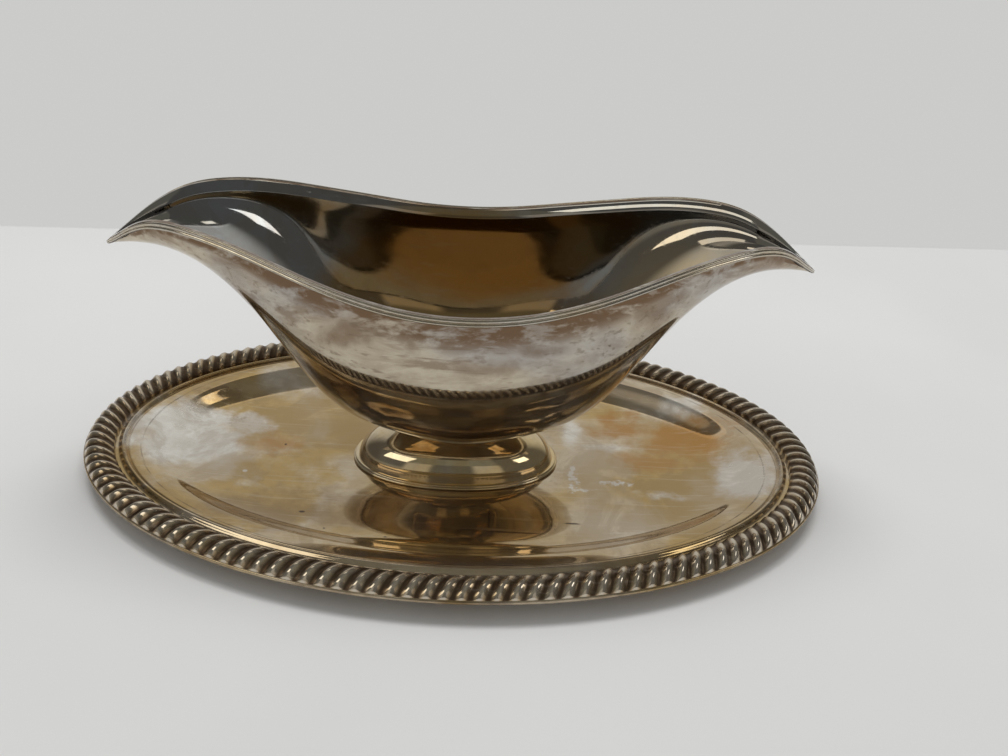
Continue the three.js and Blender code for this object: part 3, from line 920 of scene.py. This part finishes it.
rimWire = {
    "thickness": 0.9,
    "height": 2.2,
    "tipShare": 0.45,
    "tipFrom": 0.8,
    "turns": 420,
    "section": [(0.93, 0.62), (0.97, 0.72), (0.95, 0.82), (0.86, 0.91), (0.7, 0.975), (0.5, 1.0),
                (0.28, 0.985), (0.1, 0.94), (0.0, 0.86), (0.0, 0.5), (0.0, 0.1), (0.15, 0.0),
                (0.5, 0.0), (0.75, 0.05), (0.88, 0.14), (0.92, 0.24), (0.86, 0.34), (0.66, 0.4),
                (0.62, 0.45), (0.74, 0.52)],
    "deep": [0, 0, 0, 0, 0, 0, 0, 0, 0.4, 0.8, 1, 1, 1, 0.7, 0.1, 0, 0, 0.5, 0.7, 0.2],
}


def makeRimWire():
    section = rimWire["section"]
    startPiece()
    bpy.ops.mesh.primitive_torus_add(major_segments=rimWire["turns"], minor_segments=len(section),
                                     major_radius=1, minor_radius=0.25)
    piece = namePiece("boatRimWire")
    flat = placesOf(piece)
    around = np.arctan2(flat[:, 1], flat[:, 0])
    rolled = np.arctan2(flat[:, 2], np.hypot(flat[:, 0], flat[:, 1]) - 1)
    spot = np.round(rolled / (2 * math.pi) * len(section)).astype(int) % len(section)
    out, up = np.array(section)[spot].T
    share, side = np.cos(around), np.sign(np.round(np.sin(around), 6))
    towardsTip = np.maximum(0, (np.abs(share) - rimWire["tipFrom"]) / (1 - rimWire["tipFrom"]))
    fade = 1 - (1 - rimWire["tipShare"]) * towardsTip
    innerEnd, outerEnd = planEnd(rimWire["thickness"]), planEnd(0)
    inner = np.maximum(planWidth(share * innerEnd, rimWire["thickness"]), 0)
    outer = np.maximum(planWidth(share * outerEnd, 0), 0)
    x = share * (innerEnd + (outerEnd - innerEnd) * out)
    y = side * (inner + (outer - inner) * out)
    z = rimHeight(share) - (1 - up) * rimWire["height"] * fade
    movePoints(piece, turnBoat(x, y, z))
    writeAttribute(piece, "deep", np.array(rimWire["deep"])[spot])
    bpy.ops.object.mode_set(mode="EDIT")
    turnOutward()
    smoothOver(piece, 70)
    look = {**tones, "silver": (0.62, 0.585, 0.52), "cloudSize": 60.0, "goldSpread": 0.35,
            "goldLeast": 0.1, "brownMottle": 0.3, "roughLeast": 0.14, "roughSpread": 0.1}
    piece.data.materials.append(platedSilver("rimSilver", look, deep={"bare": 0.2, "oxide": 0.9}))
    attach(piece, "root")
    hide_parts("rim_wire")


makeRimWire()
print("rim wire made")


# Foot: an oval drawn up ring by ring, from the bead at its base over the dome to the neck

foot = {
    "points": 200,
    "halfLength": 34.0,
    "halfWidth": 20.1,
    "squareness": 2.16,
    "neck": (11.5, 8.5),
    "base": 1.3,
    "sheet": 1.0,
    "bead": [(1.3, 0.0), (0.4, 0.02), (0.1, 0.16), (0.0, 0.4), (0.06, 0.66), (0.3, 0.84),
             (0.5, 0.88), (0.54, 0.94), (0.5, 1.05), (0.6, 1.24), (0.8, 1.36), (1.05, 1.42),
             (1.3, 1.4), (1.6, 1.34)],
    "beadHeight": 1.34,
    "domeInset": 1.7,
    "domeRings": 30,
    "innerInset": 2.4,
    "innerDrop": 0.6,
    "neckOverlap": 0.1,
    "fitHeight": 5,
    "dome": [(0, 0), (0.03, 0.14), (0.09, 0.3), (0.19, 0.45), (0.34, 0.59), (0.54, 0.71),
             (0.74, 0.8), (0.9, 0.89), (1, 1)],
}


# The height of the bowl's outside, where the foot's neck meets it

def undersideAt(x, y):
    share = np.abs(x) / boat["halfLength"]
    top = rimHeight(share) - boat["belowRim"] - boat["flareHeight"]
    across = roundness(share)
    width = planWidth(x, boat["wire"] + boat["gap"]) - boat["flare"]["outer"]
    reach = np.minimum(np.abs(y) / width, 1) ** across
    return top - (top - keelAt(x, 0)) * (1 - reach) ** (1 / boat["upright"])


def makeFoot():
    neckTop = boat["underside"] + foot["neckOverlap"]
    domeBase = foot["base"] + foot["beadHeight"]

    def insetBy(inset):
        return foot["halfLength"] - inset, foot["halfWidth"] - inset

    outer = [(*insetBy(inset), foot["base"] + up) for inset, up in foot["bead"]]
    profile = curveThrough(foot["dome"], flatStart=False)
    startSize = insetBy(foot["domeInset"])
    dome = []
    for share in np.linspace(0, 1, foot["domeRings"]):
        a, b = (start + (end - start) * share for start, end in zip(startSize, foot["neck"]))
        dome.append((a, b, domeBase + (neckTop - domeBase) * float(profile(share))))
    inside = [(a - foot["sheet"], b - foot["sheet"], z - foot["sheet"] * foot["innerDrop"])
              for a, b, z in dome[::-3]]
    inside.append((*insetBy(foot["innerInset"]), foot["base"]))
    rings = outer + dome + inside + [outer[0]]
    startRing(foot["points"], rings[0])
    bpy.ops.object.mode_set(mode="OBJECT")
    piece = namePiece("boatFoot")
    ring = placesOf(piece)
    c, s = ring[:, 0] / (rings[0][0] * mm), ring[:, 1] / (rings[0][1] * mm)
    power = 2 / foot["squareness"]
    ring[:, 0] = rings[0][0] * mm * np.sign(c) * np.abs(c) ** power
    ring[:, 1] = rings[0][1] * mm * np.sign(s) * np.abs(s) ** power
    movePoints(piece, ring)
    bpy.ops.object.mode_set(mode="EDIT")
    bpy.ops.mesh.select_all(action="SELECT")
    drawRings(rings)
    closeRings()
    places = placesOf(piece) / mm
    near = np.clip((places[:, 2] - neckTop) / foot["fitHeight"] + 1, 0, 1) ** 2
    x, y = places[:, 0] - boat["shift"], places[:, 1]
    z = places[:, 2] + near * (undersideAt(x, y) - boat["gap"] - neckTop)
    movePoints(piece, turnBoat(x, y, z))
    smoothOver(piece, 60)
    look = {**tones, "gold": (0.78, 0.61, 0.34), "cloudSize": 50.0, "goldSpread": 0.4,
            "goldLeast": 0.6, "brownMottle": 0.2, "roughLeast": 0.03, "roughSpread": 0.05,
            "metallic": 0.94}
    piece.data.materials.append(platedSilver("footSilver", look, {
        "brown": [patchAt((-26, -6, 6), (8, 8, 8), 1.2, 160, 0.5, 0.5)]}))
    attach(piece, "root")
    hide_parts("foot")


makeFoot()
print("foot made")


# Hidden fixing: plain nickel alloy on the CAD pieces themselves

def finishFixing():
    look = {**tones, "silver": (0.5, 0.47, 0.42), "gold": (0.42, 0.36, 0.26), "cloudSize": 90.0,
            "goldSpread": 0.4, "goldLeast": 0.2, "brownMottle": 0.3, "roughLeast": 0.3,
            "roughSpread": 0.15}
    material = platedSilver("fixingAlloy", look)
    for node in ("fixing_stud", "washer", "nut"):
        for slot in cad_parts[node].material_slots:
            slot.material = material


finishFixing()


# Stage: a pale table, the wall behind it, soft lamps, and the room that only the metal shows

stage = {
    "table": (0.74, 0.74, 0.73),
    "wall": (0.60, 0.60, 0.59),
    "wallMirrored": (0.60, 0.60, 0.58),
    "wallTop": (0.80, 0.79, 0.76),
    "ceiling": (0.11, 0.112, 0.105),
    "ceilingLeft": (0.40, 0.39, 0.36),
    "shade": (0.112, 0.112, 0.108),
    "frontHigh": (0.18, 0.18, 0.155),
    "room": (0.40, 0.38, 0.34),
    "sideLow": (0.25, 0.24, 0.21),
    "wallLine": ((-0.242, 0.189), (0.299, 0.242)),
    "light": 0.43,
    "floorSize": 8,
    "floorDrop": 0.00005,
    "floorUneven": 0.02,
    "wallLineHalf": 0.0015,
    "roomRadius": 1.6,
    "ceilingSplit": (-0.1, -0.5),
    "ceilingFrom": (1.375, 1.395),
    "wallTopEnd": (1.33, 1.32),
    "wallEnd": (1.29, 1.28),
    "shadeAhead": (0.18, 0.28),
    "frontEnd": (0.8, 0.72),
    "sideLowEnd": (0.4, 0.15),
    "sideLowAcross": (0.0, 0.1),
    "frontToSide": (-0.84, -0.78),
    "sideToBack": (0.45, 0.9),
    "lamps": [
        {"place": (-0.25, 0.24, 1.05), "size": 0.4, "power": 3.4},
        {"place": (0.22, 0.30, 1.05), "size": 0.4, "power": 3.4},
    ],
    "windows": [
        {"place": (-0.33, 0.16, 1.05), "size": (0.26, 0.5), "tone": (1.15, 1.1, 0.98)},
        {"place": (0.20, 0.46, 0.98), "size": (0.18, 0.09), "tone": (1.7, 1.6, 1.4)},
        {"place": (1.02, -0.35, 0.73), "size": (0.42, 0.27), "tone": (2.2, 2.2, 2.15)},
        {"place": (-0.84, -0.59, 0.80), "size": (0.75, 0.38), "tone": (1.75, 1.68, 1.48)},
    ],
}


def makeFloor():
    startPiece()
    bpy.ops.mesh.primitive_plane_add(size=stage["floorSize"], location=(0, 0, -stage["floorDrop"]))
    floor = namePiece("floor")
    material, tree = emptyMaterial("paleTable")
    (x0, y0), (x1, y1) = stage["wallLine"]
    slope = (y1 - y0) / (x1 - x0)
    place = put(tree, "ShaderNodeTexCoord").outputs["Object"]
    split = put(tree, "ShaderNodeSeparateXYZ", {"Vector": place})
    line = timesPlus(tree, split.outputs["X"], -slope, slope * x0 - y0)
    half = stage["wallLineHalf"]
    behind = ramp(tree, calc(tree, "ADD", split.outputs["Y"], line), -half, half)
    cloud = put(tree, "ShaderNodeTexNoise", {"Vector": place, "Scale": 6.0, "Detail": 3.0})
    tone = blendColour(tree, ramp(tree, cloud.outputs["Fac"], 0.3, 0.7),
                       *([v * (1 + sign * stage["floorUneven"]) for v in stage["table"]]
                         for sign in (-1, 1)))
    table = put(tree, "ShaderNodeBsdfPrincipled", {"Base Color": tone, "Roughness": 0.6,
                                                   "Specular IOR Level": 0.0})
    wall = put(tree, "ShaderNodeEmission", {"Color": (*stage["wall"], 1), "Strength": 1.0})
    closeMaterial(tree, put(tree, "ShaderNodeMixShader", {0: behind, 1: table.outputs[0],
                                                          2: wall.outputs[0]}))
    floor.data.materials.append(material)


def glowing(name, colour=(1, 1, 1)):
    material, tree = emptyMaterial(name)
    glow = put(tree, "ShaderNodeEmission", {"Color": (*colour, 1), "Strength": 1.0})
    closeMaterial(tree, glow)
    return material, tree, glow


def onlyMirrored(card):
    card.visible_camera = False
    card.visible_diffuse = False
    card.visible_shadow = False


def makeRoom():
    startPiece()
    bpy.ops.mesh.primitive_uv_sphere_add(segments=64, ring_count=32, radius=stage["roomRadius"],
                                         location=(0, 0, 0))
    room = namePiece("roomAround")
    bpy.ops.object.mode_set(mode="EDIT")
    bpy.ops.mesh.select_all(action="SELECT")
    bpy.ops.mesh.flip_normals()
    bpy.ops.object.mode_set(mode="OBJECT")
    material, tree, glow = glowing("dimRoom")
    place = put(tree, "ShaderNodeTexCoord").outputs["Object"]
    heading = vectors(tree, "NORMALIZE", vectors(tree, "MULTIPLY", place, (1, 1, 0))[0])[0]
    north = put(tree, "ShaderNodeSeparateXYZ", {"Vector": heading}).outputs
    height = put(tree, "ShaderNodeSeparateXYZ", {"Vector": place}).outputs["Z"]
    measure = {"X": north["X"], "Y": north["Y"], "Z": height,
               "apart": calc(tree, "ABSOLUTE", north["X"])}

    def reach(which, line):
        return ramp(tree, measure[which], *stage[line])

    ceiling = blendColour(tree, reach("X", "ceilingSplit"), stage["ceiling"], stage["ceilingLeft"])
    upper = blendColour(tree, reach("Z", "ceilingFrom"), stage["shade"], ceiling)
    bright = blendColour(tree, reach("Z", "wallTopEnd"), upper, stage["wallTop"])
    behind = blendColour(tree, reach("Z", "wallEnd"), bright, stage["wallMirrored"])
    ahead = blendColour(tree, reach("apart", "shadeAhead"), stage["shade"], stage["room"])
    front = blendColour(tree, reach("Z", "frontEnd"), stage["frontHigh"], ahead)
    side = blendColour(tree, reach("Z", "sideLowEnd"), stage["shade"], stage["sideLow"])
    side = blendColour(tree, reach("X", "sideLowAcross"), side, stage["shade"])
    around = blendColour(tree, reach("Y", "frontToSide"), front, side)
    around = blendColour(tree, reach("Y", "sideToBack"), around, behind)
    tree.links.new(around, glow.inputs["Color"])
    room.data.materials.append(material)
    onlyMirrored(room)


def makeWindows():
    for i, window in enumerate(stage["windows"]):
        startPiece()
        bpy.ops.mesh.primitive_plane_add(size=1, location=(0, 0, 0))
        card = namePiece(f"windowLight{i + 1}")
        middle = Vector(window["place"])
        turn = (-middle).to_track_quat("Z", "Y").to_matrix().to_4x4()
        card.data.transform(Matrix.Translation(middle) @ turn
                            @ Matrix.Diagonal((*window["size"], 1, 1)))
        card.data.materials.append(glowing(f"windowGlow{i + 1}", colour=window["tone"])[0])
        onlyMirrored(card)


def lightStage():
    scene = bpy.context.scene
    scene.view_settings.view_transform = "Standard"
    world = bpy.data.worlds.new("studio")
    scene.world = world
    world.use_nodes = True
    tree = world.node_tree
    tree.nodes.clear()
    path = put(tree, "ShaderNodeLightPath")
    sharp = calc(tree, "MAXIMUM", path.outputs["Is Glossy Ray"],
                 path.outputs["Is Transmission Ray"])
    seen = calc(tree, "MAXIMUM", path.outputs["Is Camera Ray"], sharp)
    light = put(tree, "ShaderNodeBackground", {"Color": (1.0, 1.0, 1.0, 1),
                                               "Strength": stage["light"]})
    backdrop = put(tree, "ShaderNodeBackground", {"Color": (*stage["wall"], 1), "Strength": 1.0})
    both = put(tree, "ShaderNodeMixShader", {0: seen, 1: light.outputs[0], 2: backdrop.outputs[0]})
    surface = put(tree, "ShaderNodeOutputWorld")
    tree.links.new(both.outputs[0], surface.inputs["Surface"])
    for i, lamp in enumerate(stage["lamps"]):
        startPiece()
        bpy.ops.object.light_add(type="AREA", location=lamp["place"])
        light = bpy.context.object
        light.name = f"lamp{i + 1}"
        light.data.size = lamp["size"]
        light.data.energy = lamp["power"]
        light.rotation_euler = (-light.location).to_track_quat("-Z", "Y").to_euler()
        light.visible_glossy = False


makeFloor()
makeRoom()
makeWindows()
lightStage()
print("stage and lights set")
